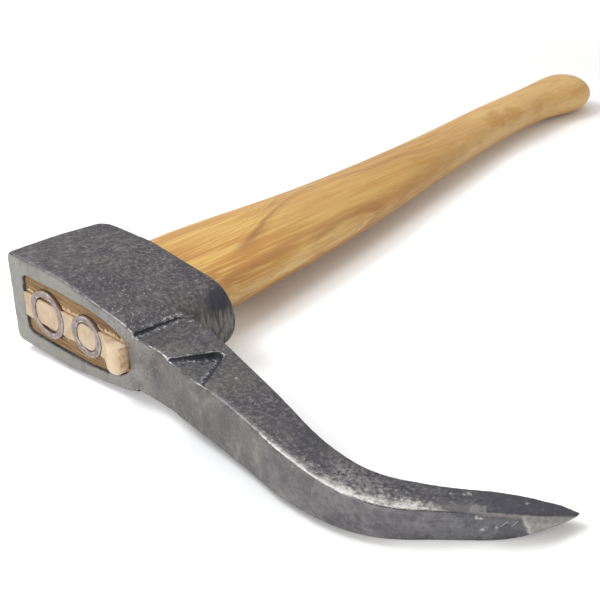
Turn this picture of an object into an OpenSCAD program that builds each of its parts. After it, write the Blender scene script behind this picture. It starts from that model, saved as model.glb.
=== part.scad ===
// Hand pickaroon: a forged steel head with a long bent beak, on a short hickory haft.
// Every piece is drawn in the tool's own frame: x runs down the haft from the crown face, y points
// from the beak to the poll, and z is the thickness, even about its middle plane.
// lie() then lays the whole tool on the ground, on its cheek, its beak and its knob.

/* [Eye] */
// Length of the eye, poll to beak, at the crown face
eye_len = 69; // [60:1:76]
// Width of the eye across its cheeks, at the crown face
eye_width = 28; // [24:0.5:32]
// Depth of the eye along the haft, at the beak side
eye_depth = 51; // [44:1:62]
// How much shorter the eye is at the haft side
eye_taper_len = 5; // [2:0.5:8]
// How much narrower the eye is at the haft side
eye_taper_width = 2; // [1:0.5:4]
// Distance from the haft's axis to the poll end of the eye
eye_reach = 31; // [27:0.5:34]

/* [Socket] */
// Thickness of each cheek wall
cheek_wall = 7.7; // [5:0.1:10]
// Thickness of the poll wall, at the crown face
poll_wall = 10; // [7:0.5:12]
// Thickness of the wall behind the beak end of the eye
nose_wall = 9; // [6:0.5:11]
// Radius of the rounded nose on the beak side
nose_r = 16.5; // [14:0.5:17]
// How far the poll curves in towards the haft side
poll_lean = 4.5; // [0:0.5:5]
// How much the haft side is set back at the poll
rim_slant = 2; // [0:0.5:6]
// Radius of the corner between the poll and the haft side
rim_corner = 9; // [4:0.5:12]
// Radius of the edge round the haft side
rim_round = 2; // [1:0.5:3]
// Radius of the socket's long corners
socket_corner = 3; // [2:0.5:5]
// Width of the bevel round the faces
bevel = 1; // [0.4:0.1:1.5]

/* [Beak] */
// Length of the beak along its middle, from inside the socket to the point
beak_run = 203; // [170:1:240]
// Depth of the beak at the root, in the direction of the haft
beak_root_depth = 25; // [22:0.5:30]
// Depth of the beak half way down
beak_mid_depth = 19.5; // [16:0.5:23]
// Depth of the beak in its lower bend
beak_bend_depth = 16; // [12:0.5:19]
// Depth of the beak where the ground point starts
beak_point_depth = 13; // [10:0.5:15]
// Thickness of the beak half way down
beak_mid_thick = 22.5; // [18:0.5:25]
// Thickness of the beak in its lower bend
beak_bend_thick = 13.8; // [11:0.2:16]
// Thickness of the beak where the ground point starts
beak_point_thick = 12.4; // [9:0.2:14]
// Angle by which the beak first leans away from the haft
lean_out = 15.4; // [0:0.2:22]
// Angle by which the beak ends up turned towards the haft
turn_in = 33; // [20:1:46]
// Extra turn over the last of the beak
claw = 15; // [0:1:24]
// Length of the ground point
point_len = 30; // [20:1:40]
// Radius of the hollow between the socket's nose and the beak
crook_r = 6; // [3:0.5:9]

/* [Chisel cuts] */
// Depth of the cut that steps the cheek down to the beak
step_depth = 2; // [0.8:0.1:2.4]
// Length over which that cut runs out
step_run = 17; // [12:1:22]
// Depth of the three-cornered cut
pit_depth = 2.8; // [1:0.1:3.4]

/* [Haft] */
// Length of the tool from the crown face to the end of the knob
tool_len = 448; // [390:1:520]
// Width of the haft where it leaves the socket
shoulder_width = 66; // [56:1:68]
// Thickness of the haft where it leaves the socket
shoulder_thick = 26; // [24:0.5:27]
// Width of the grip at its slimmest
grip_width = 30; // [26:0.5:38]
// Thickness of the grip
grip_thick = 22.4; // [20:0.2:28]
// How far the grip bows towards the poll side
grip_bow = 12; // [0:1:20]
// Width of the knob
knob_width = 38; // [32:0.5:46]
// Thickness of the knob
knob_thick = 25; // [22:0.5:30]

/* [Wedges] */
// Thickness of the wooden wedge at its head
wedge_thick = 11.6; // [8:0.2:14]
// How deep the wooden wedge is driven
wedge_deep = 38; // [30:1:42]
// How far the wooden wedge stands out of the eye at its beak end
wedge_proud = 4.7; // [0:0.1:6]
// Outer diameter of the larger ring wedge
ring_large_d = 22; // [18:0.5:24]
// Outer diameter of the smaller ring wedge
ring_small_d = 18.6; // [15:0.2:22]
// Thickness of the ring wedges' walls, at the top
ring_wall = 3; // [2:0.1:3.6]
// Height of the ring wedges
ring_height = 20; // [14:1:26]

/* [Hidden] */

// clearance of the tongue in the eye, and of each wedge in what it is driven into
fit_clear = 0.1;
// how far the end of the tongue lies below the crown face
tongue_sunk = 1.5;
// width of the saw kerf that the wooden wedge is driven into, and how far it runs past the wedge
kerf = 1.6;
kerf_past = 4;

// the eye is widest where its flat poll half turns into its long oval half
eye_mid = 5;
eye_corner = 12;
eye_round = 2.6;
socket_half = eye_width / 2 + cheek_wall;
poll_y = eye_reach + poll_wall;
nose_y = eye_reach - eye_len - nose_wall;
around = 40;
corner_steps = 6;
// how far cutting shapes reach past what they cut, and how far a cut's mouth stands above the surface
clear_by = 3;
pit_rise = 0.5;

// Shared curves
function mix(a, b, t) = a + (b - a) * t;
function sgn(v) = v < 0 ? -1 : 1;
function power(v, e) = sgn(v) * pow(abs(v), e);
function last(list) = list[len(list) - 1];
function arc(centre, r, from, to, steps) =
    [for (i = [0 : steps]) let (a = mix(from, to, i / steps)) centre + r * [cos(a), sin(a)]];

// row of the table that holds s, and a value of that row and its neighbours joined smoothly
function row_at(table, s, i = 0) =
    i >= len(table) - 2 || s < table[i + 1][0] ? i : row_at(table, s, i + 1);
function slope_at(table, k, i) =
    let (a = max(i - 1, 0), b = min(i + 1, len(table) - 1))
    (table[b][k] - table[a][k]) / (table[b][0] - table[a][0]);
function smooth_at(table, k, s) =
    let (
        i = row_at(table, s),
        step = table[i + 1][0] - table[i][0],
        t = min(max((s - table[i][0]) / step, 0), 1),
        m0 = slope_at(table, k, i) * step,
        m1 = slope_at(table, k, i + 1) * step
    )
    (2 * t^3 - 3 * t^2 + 1) * table[i][k] + (t^3 - 2 * t^2 + t) * m0
    + (3 * t^2 - 2 * t^3) * table[i + 1][k] + (t^3 - t^2) * m1;

// a closed skin over rings of points, each ring with as many points as the next
module loft(rings) {
    n = len(rings[0]);
    sides = [
        for (k = [0 : len(rings) - 2], i = [0 : n - 1])
        let (a = k * n + i, b = k * n + (i + 1) % n)
        each [[a, b + n, b], [a, a + n, b + n]]
    ];
    start_cap = [[for (i = [0 : n - 1]) i]];
    end_cap = [[for (i = [n - 1 : -1 : 0]) (len(rings) - 1) * n + i]];
    polyhedron([for (ring = rings) each ring], concat(sides, start_cap, end_cap), convexity = 6);
}

// Sections
// one ring of a section: square towards the poll, oval towards the beak, both halves meeting at mid
function section(x, poll, mid, beak, half, poll_power, beak_power) = [
    for (i = [0 : around - 1])
    let (a = 360 * i / around, c = cos(a), e = 2 / (c > 0 ? poll_power : beak_power))
    [x, mid + (c > 0 ? poll - mid : mid - beak) * power(c, e), half * power(sin(a), e)]
];

// the eye at depth x, drawn in by a clearance; it keeps its crown size above the crown face
function eye_ring(x, clear) =
    let (t = max(x, 0) / eye_depth)
    section(
        x,
        eye_reach - eye_taper_len / 2 * t - clear,
        eye_mid,
        eye_reach - eye_len + eye_taper_len / 2 * t + clear,
        (eye_width - eye_taper_width * t) / 2 - clear,
        eye_corner,
        eye_round
    );

// where the socket's haft side lies, its corner at the poll rounded off
function rim_x(y) =
    let (t = min(max((y - poll_y + poll_lean + rim_corner) / rim_corner, 0), 0.9))
    eye_depth - rim_slant * (y - nose_y) / (poll_y - nose_y) - rim_corner * (1 - sqrt(1 - t * t));

// one ring of the socket's outside: flat poll, flat cheeks, then arcs round to the nose
function socket_ring(share, inset, set_back) =
    let (
        half = socket_half - inset,
        poll = poll_y - poll_lean * share * share - inset,
        nose = max(nose_r - inset, bevel),
        nose_mid = nose_y + nose_r,
        draw_in = asin((half - nose) / (eye_mid - nose_mid)),
        straight = poll - max(rim_corner, socket_corner + 1),
        upper = concat(
            arc([poll - socket_corner, half - socket_corner], socket_corner, 0, 90, corner_steps),
            [for (i = [1 : 4]) [mix(poll - socket_corner, straight, i / 4), half]],
            arc([eye_mid, 0], half, 90, 90 + draw_in, corner_steps),
            arc([nose_mid, 0], nose, 90 + draw_in, 180, 2 * corner_steps)
        ),
        lower = [for (i = [len(upper) - 2 : -1 : 0]) [upper[i].x, -upper[i].y]]
    )
    [for (p = concat(upper, lower)) [share * rim_x(p.x) + set_back, p.x, p.y]];

// how far in from the outside the haft side is drawn, so that its cap falls inside the eye
inside_eye = max(cheek_wall, nose_wall + eye_taper_len / 2) + 1;

module socket() {
    loft([
        socket_ring(0, bevel, 0),
        socket_ring(0, 0, bevel),
        for (share = [0.25 : 0.25 : 0.75]) socket_ring(share, 0, 0),
        socket_ring(1, 0, -rim_round),
        socket_ring(1, rim_round / 3, -rim_round / 3),
        socket_ring(1, rim_round, 0),
        socket_ring(1, inside_eye, 0)
    ]);
}

// Beak
root_y = nose_y + 22;
beak_steps = 72;

// lean of the beak down its length: straight at the root, out from the haft, then in towards it
bends = [
    [0, 0], [0.12, 0], [0.19, -0.78 * lean_out], [0.33, -0.78 * lean_out], [0.48, -lean_out],
    [0.61, 0.1 * lean_out], [0.72, turn_in], [0.85, turn_in + 0.4 * claw], [1, turn_in + claw]
];

// depth and thickness of the beak down its length
function beak_depth(share) = mix(beak_bend_depth, beak_point_depth, share);
function mid_to_bend(share) = mix(beak_mid_thick, beak_bend_thick, share);
function bend_to_point(share) = mix(beak_bend_thick, beak_point_thick, share);
beak_sizes = [
    [0, beak_root_depth, 2 * nose_r + 0.6],
    [0.045, beak_root_depth, 2 * nose_r - 1.6],
    [0.08, beak_root_depth, 2 * nose_r - 5.2],
    [0.133, beak_root_depth, beak_mid_thick + 3.4],
    [0.227, beak_root_depth - 0.8, beak_mid_thick + 0.6],
    [0.38, beak_mid_depth, beak_mid_thick],
    [0.53, mix(beak_mid_depth, beak_bend_depth, 0.85), mid_to_bend(0.3)],
    [0.63, beak_bend_depth, mid_to_bend(0.72)],
    [0.7, beak_bend_depth, beak_bend_thick],
    [0.78, beak_depth(0.85), bend_to_point(0.6)],
    [0.86, beak_point_depth, beak_point_thick],
    [1, beak_point_depth, beak_point_thick]
];

function beak_lean(share) = lookup(share, bends);

// middle of the beak at each step, walked from the root
spine = [
    for (
        i = 0, p = [beak_root_depth / 2, root_y];
        i <= beak_steps;
        p = p + beak_run / beak_steps
            * [sin(beak_lean((i + 0.5) / beak_steps)), -cos(beak_lean((i + 0.5) / beak_steps))],
        i = i + 1
    )
    p
];

function spine_at(share) =
    let (i = min(floor(share * beak_steps), beak_steps - 1))
    mix(spine[i], spine[i + 1], share * beak_steps - i);

// a point beside the beak's middle: across is positive on the haft side
function beside(share, across) =
    spine_at(share) + across * [cos(beak_lean(share)), sin(beak_lean(share))];

function beak_half_thick(share) = smooth_at(beak_sizes, 2, share) / 2;

// how far the ground point has come down to its tip; its haft side stays full for longer than its
// back, and its bevels widen
function ground(share) = max(0, (share - 1) * beak_run / point_len + 1);
function beak_ring(i) =
    let (
        share = i / beak_steps,
        g = min(ground(share), 0.98),
        half_depth = smooth_at(beak_sizes, 1, share) / 2,
        back = half_depth * (1 - pow(g, 3.2)),
        front = half_depth * (1 - pow(g, 5)),
        h = beak_half_thick(share) * (1 - pow(g, 1.5)),
        wide = max(0, min(1, (share - 0.74) / 0.22)),
        b = min(bevel * (1 + 1.4 * wide), 0.8 * min(back, h))
    )
    [
        for (p = [
            [front, h - b], [front - b, h], [b - back, h], [-back, h - b],
            [-back, b - h], [b - back, -h], [front - b, -h], [front, b - h]
        ])
        let (q = beside(share, p.x))
        [q.x, q.y, p.y]
    ];

module beak() {
    loft([for (i = [0 : beak_steps]) beak_ring(i)]);
}

// the hollow that blends the nose into the beak, layer by layer up the thickness; it fades out
// towards the cheeks, and its ends run a little way into the steel on both sides
crook_sunk = 0.15;
crook_half = beak_half_thick(0.133) - bevel / 2;
function crook_ring(i) =
    let (
        z = crook_half * i / corner_steps,
        r = max(crook_r * cos(90 * i / corner_steps), 0.9 * crook_sunk),
        x = beak_root_depth - crook_sunk,
        y = nose_y + nose_r - sqrt(nose_r * nose_r - z * z) + crook_sunk,
        hollow = arc([x + r, y - r], r, 180, 90, corner_steps),
        back = [[x - clear_by, y + clear_by], [x - clear_by, y - r]]
    )
    [for (p = concat(back, hollow, [[x + r, y + clear_by]])) [p.x, p.y, z]];

module crook() {
    loft([for (i = [-corner_steps : corner_steps]) crook_ring(i)]);
}

// Cuts in the cheeks
function at_depth(p, depth) = [p.x, p.y, depth];
// one chisel cut: the corners of its floor, each [x, y, depth], and of its mouth, each [x, y]
module cheek_cut(surface, cut_floor, mouth) {
    loft([
        [for (p = cut_floor) [p.x, p.y, surface - p.z]],
        [for (p = mouth) [p.x, p.y, surface + pit_rise]],
        [for (p = mouth) [p.x, p.y, socket_half + 1]]
    ]);
}

// the step from the cheek down to the flat of the beak: a wall across, then the floor runs out
module cheek_step() {
    wall_y = nose_y + 6;
    surface = beak_half_thick(0.08);
    out = surface - beak_half_thick(0.08 + step_run / beak_run);
    step_floor = [
        [-clear_by, wall_y + 0.4, step_depth],
        [-clear_by, wall_y - step_run, out],
        [beak_root_depth - 0.4, wall_y - 0.65 * step_run, 0.7 * step_depth],
        [beak_root_depth - 1.2, wall_y - 5.4, 0.7 * step_depth],
        [beak_root_depth - 3.8, wall_y - 3, 0.8 * step_depth]
    ];
    cheek_cut(surface, step_floor, [for (p = step_floor) [p.x, p.y]]);
}

// the three-cornered cut: at the surface along the outer bevel, deepest on the haft side
module cheek_pit() {
    outside = -beak_root_depth / 2 - clear_by;
    near = beside(0.187, outside);
    cheek_cut(
        beak_half_thick(0.25),
        [
            at_depth(beside(0.327, outside), -pit_rise),
            at_depth(beside(0.242, 0.2 * beak_root_depth), pit_depth),
            at_depth(beside(0.226, 0.22 * beak_root_depth), pit_depth),
            at_depth(near, 0)
        ],
        [
            beside(0.341, outside),
            beside(0.241, 0.29 * beak_root_depth),
            beside(0.224, 0.28 * beak_root_depth),
            near
        ]
    );
}

module head_body() {
    difference() {
        union() {
            socket();
            beak();
            crook();
        }
        loft([for (x = [-1, 0, eye_depth / 2, eye_depth + 1]) eye_ring(x, 0)]);
        for (side = [0, 1]) {
            mirror([0, 0, side]) {
                cheek_step();
                cheek_pit();
            }
        }
    }
}

// Haft
free_len = tool_len - eye_depth;
knob_dome = 24;
knob_share = 1 - knob_dome / free_len;

// down the free haft: share of its length, middle, half width and half thickness
function haft_width(share) = mix(shoulder_width, grip_width, share) / 2;
function haft_thick(share) = mix(shoulder_thick, grip_thick, share) / 2;
haft_sizes = [
    [0, -1.5, haft_width(0), haft_thick(0.05)],
    [0.07, 0, haft_width(0), haft_thick(0)],
    [0.28, -0.1 * grip_bow, haft_width(0.42), haft_thick(0.45)],
    [0.51, 0.37 * grip_bow, haft_width(0.84), haft_thick(0.8)],
    [0.72, 0.93 * grip_bow, grip_width / 2, grip_thick / 2],
    [0.86, grip_bow, haft_width(0.99), haft_thick(1)],
    [knob_share, 0.8 * grip_bow, knob_width / 2, knob_thick / 2],
    [1, 0.8 * grip_bow, knob_width / 2, knob_thick / 2]
];

// the haft takes the shape of the eye at the socket and turns oval over its first stretch
turn_share = 0.038;
function haft_ring(share, shrink = 1) =
    let (
        t = min(share / turn_share, 1),
        turned = t * t * (3 - 2 * t),
        middle = smooth_at(haft_sizes, 1, share),
        half_w = smooth_at(haft_sizes, 2, share) * shrink,
        half_t = smooth_at(haft_sizes, 3, share) * shrink,
        oval = section(0, middle + half_w, middle, middle - half_w, half_t, 2, 2),
        square = eye_ring(eye_depth, fit_clear)
    )
    [
        for (i = [0 : around - 1])
        let (x = eye_depth + share * free_len)
        [x, mix(square[i].y, oval[i].y, turned), mix(square[i].z, oval[i].z, turned)]
    ];

module haft_body() {
    tongue = [for (x = [tongue_sunk, eye_depth / 2]) eye_ring(x, fit_clear)];
    shaft = [for (i = [0 : 56]) haft_ring(knob_share * i / 56)];
    knob = [
        for (i = [1 : 8])
        let (a = 11.25 * i)
        haft_ring(mix(knob_share, 1, sin(a)), max(pow(cos(a), 0.75), 0.2))
    ];
    loft(concat(tongue, shaft, knob));
}

// Wedges
ring_large_y = 15;
ring_small_y = ring_large_y - ring_large_d / 2 - ring_small_d / 2 - 6.1;
wedge_tip = 1.4;
wedge_end_y = eye_reach - eye_len + 1.5;
ring_proud = 0.5;
ring_edge = 0.5;
ring_draw = 0.6;
ring_bevel = 0.35;

// the wedge's taper, seen along the eye, grown by a clearance
module wedge_taper(grow, start, length) {
    t0 = wedge_thick / 2 + grow;
    t1 = wedge_tip / 2 + grow;
    lead = (t0 - t1) * start / wedge_deep;
    translate([0, length / 2, 0])
        rotate([90, 0, 0])
            linear_extrude(length)
                polygon([[-start, -t0 - lead], [wedge_deep, -t1], [wedge_deep, t1], [-start, t0 + lead]]);
}

// the wedge's outline on the eye's long axis: flush at the poll, standing out at the beak end
module wedge_outline() {
    rise = [
        for (i = [0 : 8])
        let (t = i / 8, s = t * t * (3 - 2 * t))
        [-mix(0.3, wedge_proud, s), mix(ring_small_y - ring_small_d / 2, wedge_end_y + 5, t)]
    ];
    shoulder = arc([-wedge_proud + 3.4, wedge_end_y + 3.4], 3.4, 180, 270, corner_steps);
    translate([0, 0, -socket_half])
        linear_extrude(2 * socket_half)
            polygon(concat(
                [[wedge_deep, eye_reach], [-0.3, eye_reach]],
                rise,
                shoulder,
                [[wedge_deep, wedge_end_y]]
            ));
}

// radii of a ring wedge's inside and outside at depth x: thick at the top, drawn out to an edge
function ring_in(d, x) = d / 2 - mix(ring_wall, ring_draw + ring_edge, (x + ring_proud) / ring_height);
function ring_out(d, x) = d / 2 - ring_draw * (x + ring_proud) / ring_height;

module ring_place(y) {
    translate([0, y, 0])
        rotate([0, 90, 0])
            rotate_extrude($fn = 96)
                children();
}

module ring(d, y) {
    top = -ring_proud;
    end = ring_height - ring_proud;
    ring_place(y)
        polygon([
            [ring_in(d, top), top + ring_bevel], [ring_in(d, top) + ring_bevel, top],
            [ring_out(d, top) - ring_bevel, top], [ring_out(d, top), top + ring_bevel],
            [ring_out(d, end), end], [ring_in(d, end), end]
        ]);
}

// the room a ring wedge needs, open above it
module ring_seat(d, y) {
    top = -wedge_proud - clear_by;
    end = ring_height - ring_proud;
    ring_place(y)
        polygon([
            [ring_in(d, top) - fit_clear, top], [ring_out(d, top) + fit_clear, top],
            [ring_out(d, end) + fit_clear, end + fit_clear], [ring_in(d, end) - fit_clear, end + fit_clear]
        ]);
}

// How it lies: on the cheek's haft-side edge, on the beak and on the knob
lie_cheek = [rim_x(eye_mid) - rim_round, eye_mid, -socket_half];
lie_knob = [eye_depth + knob_share * free_len, 0.8 * grip_bow, -knob_thick / 2];
// the beak touches where it stands least below the line from the cheek to the knob
beak_drops = [
    for (i = [0 : beak_steps])
    let (
        p = beak_ring(i)[6],
        way = (p.x - lie_cheek.x) / (lie_knob.x - lie_cheek.x),
        drop = p.z - mix(lie_cheek.z, lie_knob.z, way)
    )
    i < beak_steps / 2 ? 1 : drop / (lie_cheek.y - p.y)
];
lie_beak = beak_ring(search(min(beak_drops), beak_drops)[0])[6];
ground_normal = cross(lie_beak - lie_cheek, lie_knob - lie_cheek);
up = ground_normal * sgn(ground_normal.z);
roll = atan2(up.y, up.z);
pitch = -atan2(up.x, norm([up.y, up.z]));

// a point of the tool's frame after the roll and the pitch
function turned(p) =
    let (y = p.y * cos(roll) - p.z * sin(roll), z = p.y * sin(roll) + p.z * cos(roll))
    [p.x * cos(pitch) + z * sin(pitch), y, z * cos(pitch) - p.x * sin(pitch)];

beak_back = min([for (i = [0 : beak_steps]) beak_ring(i)[3].x]);
lie_middle = [
    (turned([beak_back, 0, 0]).x + turned([tool_len, 0, 0]).x) / 2,
    (turned([0, last(spine).y, 0]).y + turned([0, poll_y, -socket_half + socket_corner]).y) / 2,
    turned(lie_cheek).z
];

module lie() {
    translate(-lie_middle)
        rotate([roll, pitch, 0])
            children();
}

// Pieces
module head() {
    color([0.42, 0.41, 0.41])
        lie()
            head_body();
}

module haft() {
    color([0.85, 0.67, 0.39])
        lie()
            difference() {
                haft_body();
                wedge_taper(fit_clear, 10, 2 * eye_len);
                translate([0, -eye_len, -kerf / 2])
                    cube([wedge_deep + kerf_past, 2 * eye_len, kerf]);
                ring_seat(ring_large_d, ring_large_y);
                ring_seat(ring_small_d, ring_small_y);
            }
}

module eye_wedge() {
    color([0.93, 0.84, 0.68])
        lie()
            difference() {
                intersection() {
                    wedge_taper(0, wedge_proud + 1, 2 * eye_len);
                    wedge_outline();
                    loft([for (x = [-2 * wedge_proud, 0, wedge_deep, eye_depth]) eye_ring(x, fit_clear)]);
                }
                ring_seat(ring_large_d, ring_large_y);
                ring_seat(ring_small_d, ring_small_y);
            }
}

module ring_wedge_large() {
    color([0.63, 0.59, 0.58])
        lie()
            ring(ring_large_d, ring_large_y);
}

module ring_wedge_small() {
    color([0.63, 0.59, 0.58])
        lie()
            ring(ring_small_d, ring_small_y);
}

head();
haft();
eye_wedge();
ring_wedge_large();
ring_wedge_small();
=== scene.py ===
# Looks of a hand pickaroon: forged head, curved hickory haft, wooden wedge and two steel ring wedges
import math

import bmesh
import bpy
import numpy as np
from mathutils import Euler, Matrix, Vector
from mathutils.kdtree import KDTree


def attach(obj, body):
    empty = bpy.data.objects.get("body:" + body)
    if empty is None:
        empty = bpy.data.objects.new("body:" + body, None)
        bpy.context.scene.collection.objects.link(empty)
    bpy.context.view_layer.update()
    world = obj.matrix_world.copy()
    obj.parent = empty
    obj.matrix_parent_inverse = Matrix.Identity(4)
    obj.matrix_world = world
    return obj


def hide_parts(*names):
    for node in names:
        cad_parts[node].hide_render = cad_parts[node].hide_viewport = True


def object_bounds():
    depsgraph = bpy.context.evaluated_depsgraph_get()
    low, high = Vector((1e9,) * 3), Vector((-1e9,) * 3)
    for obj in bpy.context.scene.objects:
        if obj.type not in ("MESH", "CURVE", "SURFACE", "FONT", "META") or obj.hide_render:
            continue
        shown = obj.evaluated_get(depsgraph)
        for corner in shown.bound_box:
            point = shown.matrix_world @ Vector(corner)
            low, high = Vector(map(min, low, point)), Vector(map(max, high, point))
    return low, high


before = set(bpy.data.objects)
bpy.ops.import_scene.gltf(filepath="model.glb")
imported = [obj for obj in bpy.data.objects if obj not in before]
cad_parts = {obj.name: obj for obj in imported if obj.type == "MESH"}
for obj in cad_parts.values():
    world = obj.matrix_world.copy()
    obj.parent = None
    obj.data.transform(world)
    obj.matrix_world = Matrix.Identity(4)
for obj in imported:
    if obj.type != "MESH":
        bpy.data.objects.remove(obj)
cad_low, cad_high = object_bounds()


# Head: a socket and a long bent beak, forged from one bar of steel with the eye punched through.
# Its cheeks keep their dark forge scale, with chisel cuts where the beak starts, their walls darkened with
# painted shade. The crown face and the outer side of the beak are ground satin, and the arris beside them is
# rubbed bright by use, drawn partly as a painted highlight.

# the turn and the shift that lay the tool on the ground. In its own frame x runs down the haft from
# the crown face, y from the beak to the poll and z through the cheeks, in millimetres
roll, pitch = math.radians(4.81261), math.radians(1.45477)
lie = Euler((roll, pitch, 0)).to_matrix()
lie_middle = Vector((217.248, -84.119, -22.4112))


def in_tool(place):
    """A place of the shared frame, seen in the tool's own frame."""
    return lie.transposed() @ (place * 1000 + lie_middle)


def only(piece):
    """Selects this piece and nothing else."""
    bpy.ops.object.select_all(action="DESELECT")
    piece.select_set(True)
    bpy.context.view_layer.objects.active = piece


def copy_of(node, name):
    """A merged copy of a CAD node, ready to be worked on."""
    piece = bpy.data.objects.new(name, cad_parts[node].data.copy())
    bpy.context.scene.collection.objects.link(piece)
    piece.data.materials.clear()
    only(piece)
    bpy.ops.object.mode_set(mode="EDIT")
    bpy.ops.mesh.select_all(action="SELECT")
    bpy.ops.mesh.remove_doubles(threshold=0.000002)
    bpy.ops.object.mode_set(mode="OBJECT")
    bpy.ops.mesh.customdata_custom_splitnormals_clear()
    return piece


def work(piece, kind, **settings):
    """Gives the piece one modifier and applies it."""
    only(piece)
    modifier = piece.modifiers.new(kind.title(), kind)
    for setting, value in settings.items():
        setattr(modifier, setting, value)
    bpy.ops.object.modifier_apply(modifier=modifier.name)


def reskin(piece, mesh_size):
    """Gives the piece an even, fine skin of this mesh size in millimetres, its edges just eased."""
    work(piece, "REMESH", mode="VOXEL", voxel_size=mesh_size / 1000, use_smooth_shade=True)
    work(piece, "SMOOTH", factor=0.5, iterations=2)


def wear_down(piece, name, size, depth):
    """Lowers the surface unevenly, by nothing up to depth, in hollows of about this size."""
    hollows = bpy.data.textures.new(name, "CLOUDS")
    hollows.noise_scale = size / 1000
    hollows.noise_depth = 2
    work(piece, "DISPLACE", texture=hollows, strength=depth / 1000, mid_level=1)


def places(piece):
    """Where all the piece's points are in the tool's own frame."""
    co = np.empty(3 * len(piece.data.vertices))
    piece.data.vertices.foreach_get("co", co)
    return (co.reshape(-1, 3) * 1000 + np.array(lie_middle)) @ np.array(lie)


def keep(piece, name, values):
    """Stores one number or one vector for each point of the piece."""
    kind, key = ("FLOAT", "value") if values.ndim == 1 else ("FLOAT_VECTOR", "vector")
    attribute = piece.data.attributes.new(name, kind, "POINT")
    attribute.data.foreach_set(key, values.astype(np.float32).ravel())


def is_cut_wall(face):
    """Whether this face is a steep side of one of the two chisel cuts in a cheek."""
    middle = in_tool(face.calc_center_median())
    facing = lie.transposed() @ face.normal
    by_cuts = -90 < middle.y < -40 and middle.x <= 24.5 and abs(middle.z) >= 8
    beak_side = facing.x > 0.4 or (facing.x < -0.95 and middle.x < 20)
    return by_cuts and abs(facing.z) < 0.6 and facing.y < 0.95 and not beak_side


def dots(a, b, c, gap=0.5):
    """Points spread over a triangle no farther apart than the gap, or over an edge where b is c."""
    count = max(1, math.ceil(max((b - a).length, (c - a).length) / gap))
    over = range(1) if b is c else range(count + 1)
    return [a + (b - a) * (i / count) + (c - a) * (j / count) for j in over for i in range(count + 1 - j)]


head = copy_of("head", "forged_head")

# the cuts' walls, which get painted shade, and their mouths and the other sharp edges, where scale is knocked
# off first and painted highlights go
sharp = 0.5
walls, mouths, edges = [], [], []
forging = bmesh.new()
forging.from_mesh(head.data)
wall_faces = {face for face in forging.faces if is_cut_wall(face)}
for face in wall_faces:
    walls += dots(*(v.co * 1000 for v in face.verts))
for edge in forging.edges:
    if edge.is_contiguous and edge.is_convex and edge.calc_face_angle() > sharp:
        a, b = (v.co * 1000 for v in edge.verts)
        walls_beside = sum(face in wall_faces for face in edge.link_faces)
        if walls_beside == 0:
            edges += dots(a, b, b)
        elif walls_beside == 1:
            mouths += dots(a, b, b)
forging.free()

reskin(head, mesh_size=0.66)
wear_down(head, "hammer_hollows", size=14, depth=0.22)
wear_down(head, "scale_pits", size=2.4, depth=0.12)

# the middle line of the beak, walked from inside the socket to the point: straight at the root,
# out from the haft, then in towards it. Each lean comes with its share of the way
beak_run = 203
beak_steps = 72
step = beak_run / beak_steps
beak_root = np.array([12.5, -25.0])
lean_out, turn_in, claw = 15.4, 33, 15
bends = (
    (0, 0), (0.12, 0), (0.19, -0.78 * lean_out), (0.33, -0.78 * lean_out), (0.48, -lean_out),
    (0.61, 0.1 * lean_out), (0.72, turn_in), (0.85, turn_in + 0.4 * claw), (1, turn_in + claw),
)
spine = [beak_root]
for i in range(beak_steps):
    lean = math.radians(np.interp((i + 0.5) / beak_steps, *zip(*bends)))
    spine.append(spine[-1] + step * np.array([math.sin(lean), -math.cos(lean)]))

# how far along the head each point lies, and how far across it from that middle line
at = places(head)
run = beak_root[1] - at[:, 1]
across = at[:, 0] - beak_root[0]
nearest = np.where(run > 0, np.inf, 0)
for i in range(beak_steps):
    way = (spine[i + 1] - spine[i]) / step
    off = at[:, :2] - spine[i]
    reach = off @ way
    # the first stretch also takes the points before it
    held = np.clip(reach, 0 if i else -np.inf, step)
    gap = np.linalg.norm(off - held[:, None] * way, axis=1)
    closer = gap < nearest
    nearest[closer] = gap[closer]
    run[closer] = i * step + (reach if i == beak_steps - 1 else held)[closer]
    across[closer] = (off @ np.array([-way[1], way[0]]))[closer]

# the outer side of the head and the top of the arris on it, read off the mesh in short lengths
length = 1.5
arris_within = 5
bins = np.arange(run.min(), run.max() + length, length)
which = np.digitize(run, bins)
outer_side, top = [], []
for i in range(1, len(bins)):
    mine = which == i
    outer_side.append(across[mine].min() if mine.any() else outer_side[-1])
    by_arris = mine & (across < outer_side[-1] + arris_within)
    top.append(np.abs(at[by_arris, 2]).max() if by_arris.any() else 0)
middles = bins[:-1] + length / 2
from_outer = across - np.interp(run, middles, outer_side)
below_top = np.interp(run, middles, top) - np.abs(at[:, 2])

# the bevel of the arris, which is wider towards the point, and how far past its middle a point lies
bevel = 1 + 1.4 * np.clip((run / beak_run - 0.74) / 0.22, 0, 1)
past_side = from_outer - bevel / 2
past_top = bevel / 2 - below_top
keep(head, "flow", np.stack([run, from_outer, at[:, 2]], axis=1))
keep(head, "ground", np.clip(0.5 - np.maximum(past_side, past_top) / bevel, 0, 1))
keep(head, "arris", np.hypot(past_side, past_top))

# how far below the uncut cheek the floors of the two cuts lie: a step, then a three-cornered pit
step_from, step_to = 14, 36
pit_from, pit_to = 37, 72
uncut = [
    (middle, height)
    for middle, height in zip(middles, top)
    if not step_from < middle < step_to and not pit_from < middle < pit_to
]
sunk = np.interp(run, *zip(*uncut)) - np.abs(at[:, 2])
along_cuts = (run > step_from + 1) & (run < pit_to - 1)
in_cuts = along_cuts & (from_outer > 0.8) & (from_outer < 23.5) & (sunk < 4)
keep(head, "sunk", np.where(in_cuts, sunk, 0))

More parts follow.
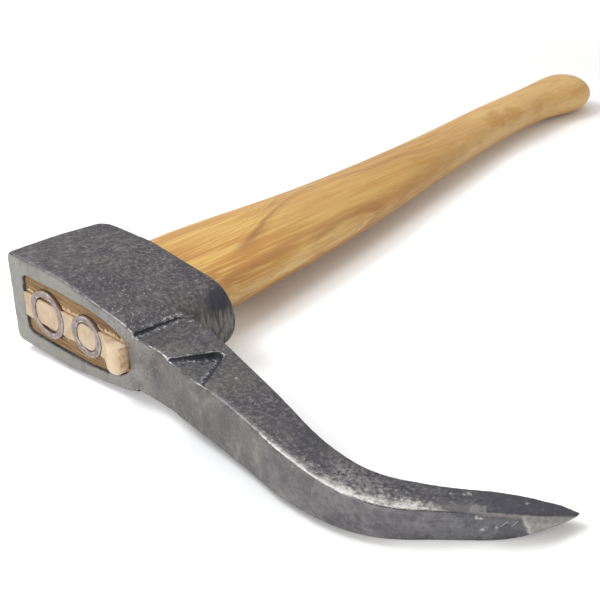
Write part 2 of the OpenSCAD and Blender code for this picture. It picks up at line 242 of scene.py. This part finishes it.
# how far each point is from those walls, mouths and edges
far_enough = 9
for name, spots in (("wall", walls), ("mouth", mouths), ("edge", edges)):
    tree = KDTree(len(spots))
    for i, spot in enumerate(spots):
        tree.insert(spot, i)
    tree.balance()
    keep(head, name, np.array([min(tree.find(v.co * 1000)[2], far_enough) for v in head.data.vertices]))


class Value:
    """A socket of a finish. Sums written on it add Math nodes, and node() adds any other node."""

    def __init__(self, tree, socket):
        self.tree = tree
        self.socket = socket

    def node(self, kind, settings, sockets, out=0):
        """A new node: its settings first, then the numbers of its sockets or the links to them."""
        made = self.tree.nodes.new("ShaderNode" + kind)
        for setting, value in settings.items():
            if setting == "stops":
                stops = made.color_ramp.elements
                for position, colour in value[1:-1]:
                    stops.new(position).color = colour
                stops[0].color, stops[-1].color = value[0][1], value[-1][1]
            else:
                setattr(made, setting, value)
        for name, value in sockets.items():
            if isinstance(value, Value):
                self.tree.links.new(value.socket, made.inputs[name])
            else:
                made.inputs[name].default_value = value
        return Value(self.tree, made.outputs[out])

    def maths(self, operation, *values):
        """What a Math node makes of these values."""
        return self.node("Math", {"operation": operation}, dict(enumerate(values)))

    def __add__(self, other):
        return self.maths("ADD", self, other)

    def __radd__(self, other):
        return self.maths("ADD", other, self)

    def __sub__(self, other):
        return self.maths("SUBTRACT", self, other)

    def __rsub__(self, other):
        return self.maths("SUBTRACT", other, self)

    def __mul__(self, other):
        return self.maths("MULTIPLY", self, other)

    def __rmul__(self, other):
        return self.maths("MULTIPLY", other, self)

    def __truediv__(self, other):
        return self.maths("DIVIDE", self, other)

    def __pow__(self, other):
        return self.maths("POWER", self, other)

    def __abs__(self):
        return self.maths("ABSOLUTE", self)

    def larger(self, other):
        """The value, or the other where that is larger."""
        return self.maths("MAXIMUM", self, other)

    def ragged(self, noise, spread):
        """The value made uneven by a noise, over this spread."""
        return self + (noise - 0.5) * spread

    def rise(self, low, high):
        """0 below low and 1 above high, or the other way round where low is the larger."""
        return self.node(
            "MapRange",
            {"interpolation_type": "SMOOTHSTEP"},
            {"Value": self, "From Min": low, "From Max": high},
        )

    def near(self, place, reach):
        """1 at this place, falling to 0 at reach on both sides."""
        return abs(self - place).rise(reach, 0)

    def through(self, *stops):
        """What the value passes through as it grows: pairs of a value and a share or a colour."""
        low, high = stops[0][0], stops[-1][0]
        ramp = []
        for at, what in stops:
            colour = what if isinstance(what, tuple) else (what, what, what, 1)
            ramp.append(((at - low) / (high - low), colour))
        return self.node("ValToRGB", {"stops": ramp}, {0: (self - low) / (high - low)})


def tint(red, green, blue):
    """A colour given in the 0 to 255 of a paint chart, as the amounts of light a finish takes."""
    chart = (red / 255, green / 255, blue / 255)
    return tuple(c / 12.92 if c <= 0.04045 else ((c + 0.055) / 1.055) ** 2.4 for c in chart) + (1,)


def paint(share, under, over):
    """One colour over another, by a share from 0 to 1."""
    settings = {"data_type": "RGBA", "clamp_factor": True}
    return share.node("Mix", settings, {0: share, 6: under, 7: over}, out=2)


def grain(x, y, z, size, detail=2, rough=0.5, bend=0):
    """Noise whose lumps are about this many millimetres long, the same or different each way."""
    size_x, size_y, size_z = size if isinstance(size, tuple) else (size, size, size)
    where = x.node("CombineXYZ", {}, {0: x / size_x, 1: y / size_y, 2: z / size_z})
    return x.node(
        "TexNoise",
        {},
        {"Vector": where, "Scale": 1, "Detail": detail, "Roughness": rough, "Distortion": bend},
    )


def finish_of(name):
    """A new finish: its material, a value to hang its nodes on, and its shader."""
    material = bpy.data.materials.new(name)
    material.use_nodes = True
    shader = material.node_tree.nodes["Principled BSDF"]
    return material, Value(material.node_tree, None), shader


def connect(shader, **values):
    """Links values to the shader's sockets, and sets its plain numbers."""
    for name, value in values.items():
        socket = shader.inputs[name.replace("_", " ")]
        if isinstance(value, Value):
            value.tree.links.new(value.socket, socket)
        else:
            socket.default_value = value


def relief(height, depth, strength):
    """A bump of this depth in millimetres, from a height of about 0 to 1."""
    return height.node("Bump", {}, {"Strength": strength, "Distance": depth / 1000, "Height": height})


# the head's finish, placed along the beak from its root, in from the outer side, and through the cheeks
steel, start, shader = finish_of("forged_steel")
flow = start.node("Attribute", {"attribute_name": "flow"}, {}, out=1)
along, outer, thick = (flow.node("SeparateXYZ", {}, {0: flow}, out=i) for i in range(3))
ground, arris, sunk, wall, mouth, edge = (
    start.node("Attribute", {"attribute_name": name}, {}, out=2)
    for name in ("ground", "arris", "sunk", "wall", "mouth", "edge")
)

# noises, most of them shifted so that they don't fall together
blotch = grain(along, outer, thick, 20, detail=3, rough=0.55)
patchy = grain(along + 90, outer, thick, 6, detail=4, rough=0.62)
speck = grain(along, outer + 40, thick, 1.6, detail=3, rough=0.7)
fleck = grain(along + 17, outer, thick, (1.5, 1.1, 1.1), detail=4, rough=0.8)
knock = grain(along + 31, outer, thick, 2.6, detail=3, rough=0.7)
smear = grain(along, outer, thick, (9, 8, 11), detail=4, rough=0.6, bend=0.6)
curl = grain(along, outer, thick, (8, 6, 5), detail=4, rough=0.62, bend=1.4)
broken = grain(along, outer, thick, (3.2, 30, 30), detail=4, rough=0.8)
# marks that run aslant over the cheeks, 60 degrees from the way along
slant_x, slant_y = along * 0.5 + outer * 0.87, along * 0.87 - outer * 0.5
woolly = grain(slant_x, slant_y, thick, (7, 1.2, 4), detail=3, rough=0.66, bend=0.5)
brushed = grain(slant_x, slant_y, thick, (1.2, 6, 6), detail=3, rough=0.6, bend=0.4)

# forge scale on the cheeks and on the beak, greyer down the beak and darker by its root
scale = paint(blotch.rise(0.36, 0.66), tint(75, 72, 77), tint(94, 91, 90))
scale = paint(along.rise(70, 150) * 0.6, scale, tint(80, 80, 86))
scale = paint(along.near(2, 34) * 0.3, scale, tint(60, 60, 65))
by_poll = along.rise(0, -40)
scale = paint((0.15 + 0.4 * by_poll) * woolly.rise(0.5, 0.62), scale, tint(58, 56, 61))
scale = paint((0.12 + 0.3 * by_poll) * woolly.rise(0.48, 0.36), scale, tint(126, 122, 120))
scale = paint(patchy.rise(0.5, 0.66) * 0.3, scale, tint(64, 63, 69))
scale = paint(patchy.rise(0.48, 0.34) * 0.3, scale, tint(118, 115, 110))
scale = paint(speck.rise(0.48, 0.34) * 0.65, scale, tint(48, 47, 54))
scale = paint(speck.rise(0.52, 0.66) * 0.62, scale, tint(134, 130, 128))
worn = along.through((-70, 0.05), (-45, 0.15), (-15, 1), (14, 1), (40, 0.35), (120, 0.5), (200, 0.25))
scale = paint(fleck.rise(0.58, 0.69) * speck.rise(0.44, 0.58) * worn, scale, tint(208, 205, 200))

# through the bend it is darker on the haft side, then paler under a painted highlight
bend_dark, bend_highlight = 106, 130
haft_side = outer.ragged(patchy, 14).rise(4, 11)
scale = paint(along.ragged(patchy, 24).near(bend_dark, 16) * haft_side * 0.45, scale, tint(62, 62, 67))
painted_bend_highlight = along.ragged(patchy, 24).near(bend_highlight, 16) * outer.ragged(patchy, 10).near(9, 7)
scale = paint(painted_bend_highlight * speck.rise(0.36, 0.56) * 0.6, scale, tint(160, 157, 154))
# towards the point it is smooth and blue
scale = paint(along.ragged(patchy, 30).rise(156, 178) * 0.65, scale, tint(68, 70, 80))

# the nose by the haft: brushed bare metal, and a blued patch over part of it
nose = along.ragged(patchy, 8).rise(13, 20) * outer.ragged(patchy, 8).rise(26, 33)
scale = paint(nose * 0.8, scale, paint(brushed.rise(0.38, 0.62), tint(70, 69, 70), tint(138, 134, 128)))
blued_along = (along.ragged(blotch, 10) - thick * 0.2).near(15.5, 8)
blued = outer.ragged(patchy, 16).near(46, 12) * blued_along
scale = paint(blued.rise(0, 0.7) * 0.85, scale, tint(50, 52, 64))

# the cuts: floors darker, walls blued and nearly black with painted shade, which also darkens the pit floor
# beside them, chips of bare metal at their feet
pit = sunk.rise(0.25, 0.7) * along.rise(35, 38)
pit_floor = paint(speck.rise(0.34, 0.62), tint(56, 56, 63), tint(106, 105, 102))
# painted shade at the foot of the pit's walls
scale = paint(pit, scale, paint(wall.ragged(speck, 1.5).rise(1, 2.6), tint(42, 44, 57), pit_floor))
step_floor = paint(speck.rise(0.36, 0.62), tint(54, 53, 56), tint(92, 90, 87))
scale = paint(sunk.rise(0.2, 0.6) * along.rise(37, 34) * 0.75, scale, step_floor)
# painted shade: the cuts' walls nearly black, less so on the lower cheek
painted_wall_shade = wall.ragged(speck, 1.2).rise(0.9, 0.3) * (0.3 + 0.7 * thick.rise(-2, 2))
scale = paint(painted_wall_shade, scale, tint(36, 38, 49))
chips = wall.ragged(speck, 2).near(1.5, 1.3) * sunk.rise(0.4, 0.8) * fleck.rise(0.5, 0.6)
scale = paint(chips * 0.85, scale, tint(196, 196, 198))
inner_strip = wall.near(2.2, 0.6) * along.rise(53, 55) * along.rise(63, 61) * knock.rise(0.36, 0.5)
scale = paint(inner_strip * pit * 0.6, scale, tint(150, 150, 156))

# ground faces: satin on the crown, duller down the outer side of the beak
satin = along.ragged(blotch, 30).through(
    (-80, tint(157, 156, 149)),
    (-20, tint(149, 148, 142)),
    (16, tint(150, 147, 144)),
    (36, tint(117, 114, 111)),
    (75, tint(112, 109, 107)),
    (120, tint(127, 124, 124)),
    (150, tint(125, 123, 126)),
    (190, tint(104, 105, 111)),
)
by_beak = 0.38 + 0.62 * along.rise(6, 28)
satin = paint(by_beak * smear.rise(0.5, 0.64) * 0.6, satin, tint(90, 88, 90))
satin = paint(by_beak * smear.rise(0.46, 0.32) * 0.4, satin, tint(162, 159, 152))
smudged = along.ragged(patchy, 14).near(28, 12) * thick.ragged(patchy, 10).near(0, 11)
satin = paint(smudged * 0.4, satin, tint(84, 84, 88))
satin = paint(curl.rise(0.5, 0.64) * along.rise(95, 125) * 0.5, satin, tint(76, 76, 82))
pale_share = along.through((-60, 0.2), (-10, 0.3), (20, 0.5), (60, 0.3), (200, 0.25))
satin = paint(speck.rise(0.52, 0.68) * pale_share, satin, tint(170, 168, 163))
dark_share = along.through((-60, 0.2), (-10, 0.3), (20, 0.5), (60, 0.4), (200, 0.4))
satin = paint(speck.rise(0.48, 0.34) * dark_share, satin, tint(86, 85, 86))
satin = paint(patchy.rise(0.5, 0.68) * 0.3, satin, tint(112, 111, 109))
is_ground = (ground - 0.22 * along.rise(16, 8)).ragged(speck, 0.3).rise(0.42, 0.58)
face = paint(is_ground, scale, satin)

# scale flaked off beside the arris through the bend, in bright specks
upper = (1 - is_ground) * abs(thick).rise(2.5, 4.5)
flake_reach = 10 * along.through(
    (40, 0), (66, 0.25), (94, 0.35), (112, 0.5), (124, 0.75),
    (138, 0.95), (148, 0.95), (156, 0.6), (162, 0), (200, 0),
)
flake_share = along.through((60, 0), (72, 0.3), (94, 0.5), (104, 0.75), (120, 0.65), (132, 1), (200, 1))
crumbs = (speck + fleck + patchy) / 3 - 0.5
flaked = (0.9 - outer / (flake_reach + 0.01) + crumbs * 3.6).rise(0, 0.95)
flaked = flaked * upper * flake_reach.rise(0.3, 1) * flake_share
face = paint(flaked * 0.9, face, paint(flaked, tint(150, 148, 145), tint(226, 224, 218)))

# the arris: a broken bright line that ends in the bend, partly bare steel rubbed by use and partly a painted
# highlight, and a dark one past it
line_share = along.through(
    (-70, 0), (-50, 0.08), (-20, 0.18), (8, 0.5), (15, 0.95), (38, 0.9), (44, 0.5),
    (62, 0.5), (70, 0.2), (94, 0.25), (100, 0.95), (130, 0.8), (137, 0), (200, 0),
)
line_half = 0.4 * broken
worn_arris_highlight = (arris.ragged(fleck, 0.5) - line_half).rise(0.16, -0.06) * line_share * broken.rise(0.36, 0.5)
face = paint(worn_arris_highlight, face, tint(226, 226, 222))
dark_line = arris.rise(0.42, 0.12) * along.through((130, 0), (137, 1), (163, 1), (169, 0))
face = paint(dark_line * 0.9, face, tint(44, 42, 44))

# knocked mouths of the two cuts, fewer down the pit, bare steel partly drawn as a painted highlight, and a
# painted highlight on the edges of the socket
knocked_mouth_highlight = mouth.ragged(knock, 0.6).rise(0.7, 0.3) * knock.rise(0.38, 0.54) * (1 - 0.85 * along.rise(50.5, 53))
face = paint(knocked_mouth_highlight * 0.9, face, tint(208, 207, 204))
rim_light = edge.rise(0.6, 0.1) * (0.2 + 0.8 * knock.rise(0.4, 0.6)) * along.rise(24, 12)
face = paint(rim_light * 0.4, face, tint(140, 138, 134))


def spot(a, b, size):
    """1 in the middle of a ragged oval, where a and b are 0, falling to 0 at its rim."""
    a = a.ragged(knock, size * 3) / size
    b = b.ragged(speck, size * 3) / size
    return (a * a + b * b).rise(1, 0.2)


# the point: a light strip on its arris, and its ground facet with a bright near edge
facet_from = 184.8
strip = arris.ragged(knock, 1.2).rise(0.8, 0.3) * along.rise(168, 174) * along.rise(188, 183)
face = paint(strip * 0.75, face, tint(160, 157, 153))
ragged_along = along.ragged(knock, 4) + thick * 0.5
facet = ragged_along.rise(facet_from - 0.6, facet_from + 0.6) * ground.rise(0.1, 0.4)
face = paint(facet, face, paint(speck.rise(0.35, 0.65), tint(146, 144, 142), tint(168, 166, 162)))
face = paint(ragged_along.near(facet_from, 1.1) * ground.rise(0.2, 0.6) * 0.9, face, tint(194, 192, 188))
# two worn patches beside the arris, knocks and scratches, each with its place along and its size
face = paint(spot(along - 169, (outer - 1.5) * 1.1, 3.4) * upper * 0.7, face, tint(142, 140, 137))
face = paint(spot((along - 163) * 0.4, outer - 1, 3.4) * upper * 0.3, face, tint(140, 138, 136))
bare = tint(172, 172, 170)
cheek_knocks = (
    (167.2, 9.3, 1.1), (165.6, 8.6, 0.7), (161.2, 8.6, 0.6),
    (185.6, 6.9, 0.8), (189.7, 4.2, 0.6), (64.5, 12.6, 0.8),
)
for knock_along, knock_outer, size in cheek_knocks:
    face = paint(spot(along - knock_along, outer - knock_outer, size) * upper * 0.6, face, bare)
side_knocks = ((168.9, 4.3, 0.9), (170.2, 3.9, 0.8), (170.9, -0.2, 0.8), (175, 1, 0.6))
for knock_along, knock_thick, size in side_knocks:
    face = paint(spot(along - knock_along, thick - knock_thick, size) * is_ground, face, bare)
for scratch_along in (178.4, 175.2):
    scratch = (along - thick * 0.9).near(scratch_along, 0.3) * thick.near(2.2, 1.8) * is_ground
    face = paint(scratch.rise(0.1, 0.5) * 0.8, face, bare)

bright = worn_arris_highlight.larger(flaked).larger(strip)
height = speck * (0.5 - 0.4 * is_ground) + patchy * 0.6
height = height + woolly * (1 - is_ground) * 0.5 + curl * is_ground * 0.3
connect(
    shader,
    Base_Color=face,
    Metallic=0.3 + 0.35 * is_ground + bright * 0.25,
    Roughness=0.58 + (speck - 0.5) * 0.3 - is_ground * 0.12 - bright * 0.1,
    Normal=relief(height, depth=0.3, strength=0.5),
)
head.data.materials.append(steel)
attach(head, "root")
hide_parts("head")


# Haft: one piece of hickory, shaved to an oval that bows towards the poll and swells to a knob.
# Its tongue fills the eye and is sawn down the middle for the wedge. The wood is oiled: honey
# heartwood with a flame figure, and a strip of pale sapwood down the beak side.

haft = copy_of("haft", "hickory_haft")
tongue_end = 44


def cut_at(piece, x, keep_beyond):
    """Cuts the piece across the haft at x and caps it, keeping one side."""
    only(piece)
    bpy.ops.object.mode_set(mode="EDIT")
    bpy.ops.mesh.select_all(action="SELECT")
    bpy.ops.mesh.bisect(
        plane_co=(lie @ Vector((x, 0, 0)) - lie_middle) / 1000,
        plane_no=lie @ Vector((1, 0, 0)),
        use_fill=True,
        clear_inner=keep_beyond,
        clear_outer=not keep_beyond,
        threshold=0.000001,
    )
    bpy.ops.object.mode_set(mode="OBJECT")


shaft = bpy.data.objects.new("shaft", haft.data.copy())
bpy.context.scene.collection.objects.link(shaft)
cut_at(haft, tongue_end, False)
cut_at(shaft, tongue_end, True)

# the free part is made smooth, and the rim of its cut end is kept sharp
only(shaft)
bpy.ops.object.mode_set(mode="EDIT")
bpy.ops.mesh.select_all(action="SELECT")
bpy.ops.mesh.tris_convert_to_quads(face_threshold=0.7, shape_threshold=0.7)
bpy.ops.object.mode_set(mode="OBJECT")
creased = bmesh.new()
creased.from_mesh(shaft.data)
crease = creased.edges.layers.float.get("crease_edge") or creased.edges.layers.float.new("crease_edge")
for rim_edge in creased.edges:
    if len(rim_edge.link_faces) == 2 and rim_edge.calc_face_angle() > 1:
        rim_edge[crease] = 1
creased.to_mesh(shaft.data)
creased.free()
work(shaft, "SUBSURF", levels=2, render_levels=2)

only(haft)
shaft.select_set(True)
bpy.ops.object.join()
bpy.ops.object.shade_smooth_by_angle(angle=math.radians(35))


def tool_axes(start):
    """The tool's own x, y and z in a finish, in millimetres."""
    where = start.node("TexCoord", {}, {}, out=3)
    to_tool = lie.transposed()
    turned = where.node(
        "Mapping",
        {"vector_type": "POINT"},
        {
            "Vector": where,
            "Location": to_tool @ lie_middle,
            "Rotation": to_tool.to_euler(),
            "Scale": (1000, 1000, 1000),
        },
    )
    return [turned.node("SeparateXYZ", {}, {0: turned}, out=i) for i in range(3)]


# where the ring wedges stand along the eye, and their outer diameters
ring_places = ((15.0, 22.0), (-11.4, 18.6))


def ring_distances(y, z):
    """For each ring wedge, how far a place is from its middle, and its outer radius."""
    return [(((y - middle) * (y - middle) + z * z) ** 0.5, diameter / 2) for middle, diameter in ring_places]


def in_rings(y, z):
    """1 inside either ring wedge, 0 outside."""
    inside = 0
    for off, radius in ring_distances(y, z):
        inside = off.rise(radius - 1, radius - 1.6) + inside
    return inside


hickory, start, shader = finish_of("oiled_hickory")
x, y, z = tool_axes(start)
drift = grain(x, y, z, (60, 22, 22))
wobble = grain(x + 300, y, z, (30, 8, 8))
streak = grain(x, y, z, (62, 1.6, 1.6), detail=4, rough=0.56)
broad = grain(x, y + 60, z, (80, 6, 6))
cloudy = grain(x + 50, y, z + 30, (34, 14, 14), detail=3, rough=0.55)
mottle = grain(x + 80, y, z, (12, 5, 5), detail=3, rough=0.6)
pores = grain(x, y, z + 20, (4.5, 0.4, 0.4), rough=0.6)

# growth rings round a heart that lies below the haft and comes nearest to the top at the flame
flame = 150
ring_gap = 1.5
heart_y = (y + 24 - 0.085 * x - 7 * x.near(flame, 60)).ragged(drift, 7)
heart_z = z + 6 + 5.5 * (x.rise(flame - 5, 60) + x.rise(flame + 5, 270))
radius = ((heart_y * heart_y + heart_z * heart_z) ** 0.5).ragged(wobble, 1.8)
turn = radius / ring_gap
ring_number = turn.maths("FLOOR", turn)
ring_part = turn.maths("FRACT", turn)
ring_depth = turn.node("TexWhiteNoise", {"noise_dimensions": "1D"}, {"W": ring_number})
late = ring_part.rise(0.3, 0.92) * ring_part.rise(1, 0.95)

# the wood between them: deeper honey with pale streaks by the head, paler in the grip
wood = paint(broad.rise(0.36, 0.66), tint(209, 167, 97), tint(195, 147, 78))
wood = paint(cloudy.rise(0.5, 0.7) * 0.4, wood, tint(200, 148, 78))
by_head = x.rise(150, 75)
wood = paint(by_head * 0.75, wood, paint(broad.rise(0.38, 0.6), tint(217, 168, 84), tint(190, 134, 60)))
wood = paint(by_head * streak.rise(0.5, 0.36) * 0.45, wood, tint(244, 208, 120))
grip_wood = paint(cloudy.rise(0.4, 0.65), tint(221, 183, 119), tint(208, 164, 99))
wood = paint(x.rise(220, 330) * 0.75, wood, grip_wood)
wood = paint(streak.rise(0.5, 0.72) * 0.32, wood, tint(182, 128, 68))
wood = paint(streak.rise(0.46, 0.28) * 0.25, wood, tint(238, 206, 140))
figure = late * (0.05 + 0.36 * ring_depth * ring_depth) * x.rise(330, 240) * (0.45 + 0.55 * x.rise(80, 120))
wood = paint(figure, wood, tint(164, 110, 58))

# the flame's own dark line, brown where it starts by the head, and a lighter one outside it
flame_line = radius.ragged(streak, 0.8).near(21.8, 1.2) * x.rise(70, 95) * x.rise(330, 215)
wood = paint(flame_line * (0.4 + 0.35 * x.rise(150, 100)), wood, tint(150, 100, 58))
outer_line = radius.ragged(streak, 1).near(24.8, 0.8) * y.rise(-14, -4) * x.rise(100, 130) * x.rise(340, 260)
wood = paint(outer_line * 0.5, wood, tint(158, 108, 62))

# sapwood down the beak side, with its open pores, past a dark streak of heartwood
sap_line = -34.8 + 0.073 * x + 0.05 * (x - 205).larger(0)
sap_edge = (y - sap_line - 0.45 * (z - 8).larger(-16)).ragged(drift, 2)
streak_share = x.through((40, 0.75), (90, 0.7), (140, 0.3), (300, 0.12), (350, 0), (400, 0))
wood = paint(sap_edge.near(2.2, 3.2) * (0.5 + streak * 0.6) * streak_share, wood, tint(160, 104, 56))
sap = sap_edge.ragged(streak, 2).rise(0.6, -0.8) * x.rise(400, 330)
pale_sap = paint(streak.rise(0.35, 0.65), tint(226, 188, 124), tint(207, 161, 97))
wood = paint(sap * 0.9, wood, pale_sap)
wood = paint(pores.rise(0.6, 0.7) * (0.1 + 0.28 * sap), wood, tint(140, 100, 62))

# patches darkened by the hand: their places down and across the haft, their sizes and how dark
hand_marks = ((328, 2, 11, 0.55), (346, -2, 10, 0.5), (377, 0, 7, 0.3), (419, 12, 9, 0.2), (236, -8, 12, 0.3))
for mark_x, mark_y, size, share in hand_marks:
    off_x = (x.ragged(wobble, 20) - mark_x) / size
    off_y = (y.ragged(cloudy, 12) - mark_y) / (size * 0.55)
    smudge = (off_x * off_x + off_y * off_y).ragged(mottle, 4).rise(1.5, 0) * z.rise(-2, 4)
    wood = paint(smudge * share, wood, tint(186, 132, 60))

# end grain of the tongue, splintered over by the wedge and crushed pale inside the rings
wedge_half = max(abs(in_tool(v.co).z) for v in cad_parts["eye_wedge"].data.vertices)
lines = grain(x, y, z, (9, 16, 0.5), detail=3, rough=0.65)
end = paint(lines.rise(0.36, 0.62), tint(170, 138, 92), tint(122, 92, 54))
end = paint(grain(x, y, z, (5, 5, 3), detail=3).rise(0.45, 0.65) * 0.5, end, tint(134, 92, 52))
end = paint(y.rise(-4, -26) * z.rise(-2, 6) * 0.7, end, tint(118, 76, 50))
end = paint(lines.rise(0.54, 0.62) * 0.5, end, tint(84, 58, 36))
splinters = grain(x, y + 7, z * 0.2, (3, 1.7, 2), detail=4, rough=0.75)
torn = (abs(z) - wedge_half - (splinters - 0.44) * 9).rise(0.3, -0.3)
end = paint(torn, end, tint(216, 192, 158))
crushed = in_rings(y, z) * z.ragged(splinters, 5).rise(8.2, 7.4)
end = paint(crushed, end, paint(pores.rise(0.45, 0.65), tint(207, 189, 160), tint(187, 163, 132)))
is_end = x.rise(4.2, 2.6)
wood = paint(is_end, wood, end)

open_pores = pores.rise(0.6, 0.7)
height = streak * 0.5 + (1 - pores.rise(0.58, 0.7)) * 0.4 + late * 0.15 + lines * is_end * 1.5
connect(
    shader,
    Base_Color=wood,
    Roughness=0.46 + (streak - 0.5) * 0.2 + is_end * 0.25 + open_pores * 0.1,
    Coat_Weight=0.1,
    Coat_Roughness=0.35,
    Normal=relief(height, depth=0.16, strength=0.5),
)
haft.data.materials.append(hickory)
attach(haft, "root")
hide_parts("haft")


# Eye wedge: pale unoiled wood split and whittled to a thin taper, driven into the sawn tongue.
# Its head is flush at the poll and stands out at the beak end, with edges torn by the mallet.

wedge = copy_of("eye_wedge", "wooden_wedge")
reskin(wedge, mesh_size=0.34)
wear_down(wedge, "torn_edges", size=1.7, depth=0.3)
wear_down(wedge, "split_fibres", size=0.6, depth=0.1)

wedge_wood, start, shader = finish_of("wedge_wood")
x, y, z = tool_axes(start)
fibres = grain(x, y, z, (14, 0.7, 2.2), detail=3, rough=0.6)
blush = grain(x, y, z, 6)
nicks = grain(x, y, z + 9, 1.6, detail=3, rough=0.65)
pale = paint(blush.rise(0.35, 0.65), tint(209, 189, 160), tint(194, 169, 139))
pale = paint(fibres.rise(0.52, 0.7) * 0.3, pale, tint(190, 152, 116))
pale = paint(nicks.rise(0.64, 0.72) * 0.5, pale, tint(164, 122, 86))
# brighter where it stands out, browner down in the kerf, pinker inside the rings
pale = paint(y.rise(-27, -32) * 0.6, pale, tint(236, 214, 182))
end_face = y.ragged(nicks, 0.8).rise(-35.3, -36.2)
pale = paint(end_face, pale, paint(fibres.rise(0.38, 0.62), tint(232, 204, 170), tint(204, 164, 126)))
pale = paint(x.rise(0.2, 2.2), pale, tint(170, 128, 88))
pale = paint(in_rings(y, z) * blush.rise(0.45, 0.62) * 0.3, pale, tint(214, 180, 150))
connect(
    shader,
    Base_Color=pale,
    Roughness=0.72 + (fibres - 0.5) * 0.2,
    Normal=relief(fibres + nicks * 0.8, depth=0.2, strength=0.6),
)
wedge.data.materials.append(wedge_wood)
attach(wedge, "root")
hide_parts("eye_wedge")


# Ring wedges: two short steel tubes drawn out to an edge, hammered into tongue and wedge together
# to spread them. Their tops are dull, dinged by the hammer, a little burred and stained by the wood.

ring_steel, start, shader = finish_of("ring_steel")
x, y, z = tool_axes(start)
dinged = grain(x, y, z, 2.6, detail=3, rough=0.6)
grit = grain(x, y, z, 0.5)
stained = grain(x, y + 4, z, 6, detail=3, rough=0.6).rise(0.46, 0.6)
lip = 0
burr = 0
for off, radius in ring_distances(y, z):
    lip = off.near(radius - 0.35, 0.5) + lip
    burr = off.near(radius - 1.5, 0.45) + burr
metal = paint(dinged.rise(0.38, 0.62), tint(132, 123, 124), tint(186, 176, 175))
metal = paint(burr * (0.2 + 0.5 * dinged.rise(0.4, 0.6)), metal, tint(104, 94, 94))
metal = paint(lip * dinged.rise(0.6, 0.4) * 0.5, metal, tint(206, 200, 196))
metal = paint(grit.rise(0.6, 0.75) * 0.5, metal, tint(84, 76, 72))
metal = paint(stained * 0.5, metal, tint(158, 134, 116))
metal = paint(x.rise(0.2, 1.2), metal, tint(110, 96, 88))
connect(
    shader,
    Base_Color=metal,
    Metallic=0.7,
    Roughness=0.46 + (grit - 0.5) * 0.3,
    Normal=relief(dinged + grit * 0.3, depth=0.3, strength=0.6),
)
for node, name in (("ring_wedge_large", "ring_large"), ("ring_wedge_small", "ring_small")):
    ring = copy_of(node, name)
    reskin(ring, mesh_size=0.28)
    wear_down(ring, name + "_dings", size=3, depth=0.2)
    ring.data.materials.append(ring_steel)
    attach(ring, "root")
    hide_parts(node)


# Studio: a plain white floor that runs out of sight, a broad soft light from the poll side, and
# weaker ones from above and from the crown side. The camera stands before the crown, past the point
# of the beak, and looks down the tool.

floor_height = cad_low.z
bpy.ops.object.select_all(action="DESELECT")
bpy.ops.mesh.primitive_plane_add(size=12, location=(0, 0, floor_height))
floor = bpy.context.object
floor.name = "studio_floor"
white, start, shader = finish_of("studio_white")
seen = start.node("LightPath", {}, {}, out=0)
where = start.node("TexCoord", {}, {}, out=3)
paper_x, paper_y = (where.node("SeparateXYZ", {}, {0: where}, out=i) for i in range(2))
# painted light that whitens the paper for the camera, in metres: far out, and, cutting the shadows short,
# before the crown face beside the head's own shadows, past the haft's shadow on the beak side, and round the
# knob
far_out = (paper_x * paper_x + paper_y * paper_y).rise(0.1, 0.6)
beside_shadows = paper_y.through(
    (-0.16, 0), (-0.125, 0), (-0.108, 1), (-0.09, 1), (-0.07, 0.25),
    (-0.04, 0), (0.005, 0), (0.03, 0.7), (0.3, 0.7),
)
before_crown = beside_shadows * paper_x.rise(-0.12, -0.18)
haft_shadow = 0.072 + 0.1 * paper_x
past_haft = (haft_shadow - paper_y).rise(0, 0.014) * paper_x.rise(-0.165, -0.14) * paper_x.rise(0.16, 0.1)
past_knob = paper_y.rise(0.06, 0.03) * paper_x.rise(0.1, 0.16)
painted_paper_light = 0.05 + 0.32 * before_crown + 0.2 * (past_haft + past_knob) + 0.5 * far_out
connect(
    shader,
    Base_Color=tint(250, 250, 249),
    Roughness=0.9,
    Specular_IOR_Level=0.1,
    Emission_Color=paint(seen * painted_paper_light, (0, 0, 0, 1), (1, 1, 1, 1)),
    Emission_Strength=1,
)
floor.data.materials.append(white)

sky = bpy.data.worlds.new("studio_sky")
bpy.context.scene.world = sky
sky.use_nodes = True
start = Value(sky.node_tree, None)
camera_ray = start.node("LightPath", {}, {}, out=0)
glossy_ray = start.node("LightPath", {}, {}, out=3)
connect(
    sky.node_tree.nodes["Background"],
    Color=paint(camera_ray, (1, 0.965, 0.92, 1), (1, 1, 1, 1)),
    Strength=0.5 + camera_ray * 0.5 + glossy_ray * 0.1,
)


def soft_light(name, place, size, power):
    """A square lamp that faces the middle of the tool."""
    lamp = bpy.data.lights.new(name, "AREA")
    lamp.shape = "SQUARE"
    lamp.size = size
    lamp.energy = power
    lamp.color = (0.97, 1, 1.05)
    holder = bpy.data.objects.new(name, lamp)
    bpy.context.scene.collection.objects.link(holder)
    holder.location = place
    holder.rotation_euler = (-Vector(place)).to_track_quat("-Z", "Y").to_euler()


soft_light("poll_side", place=(-0.47, 0.66, 1.03), size=0.58, power=9)
soft_light("overhead", place=(0.1, 0.2, 1.15), size=0.9, power=2.6)
soft_light("crown_side", place=(-0.95, -0.3, 0.42), size=0.8, power=2.4)

lens = bpy.data.cameras.new("studio_camera")
lens.lens = 60
lens.sensor_width = 36
lens.clip_start = 0.01
camera = bpy.data.objects.new("studio_camera", lens)
bpy.context.scene.collection.objects.link(camera)
camera.location = (-0.41530022, -0.23714858, 0.21050917)
camera.rotation_euler = [math.radians(angle) for angle in (63.19535, 4.06937, -48.34048)]
bpy.context.scene.camera = camera
bpy.context.scene.view_settings.view_transform = "Standard"
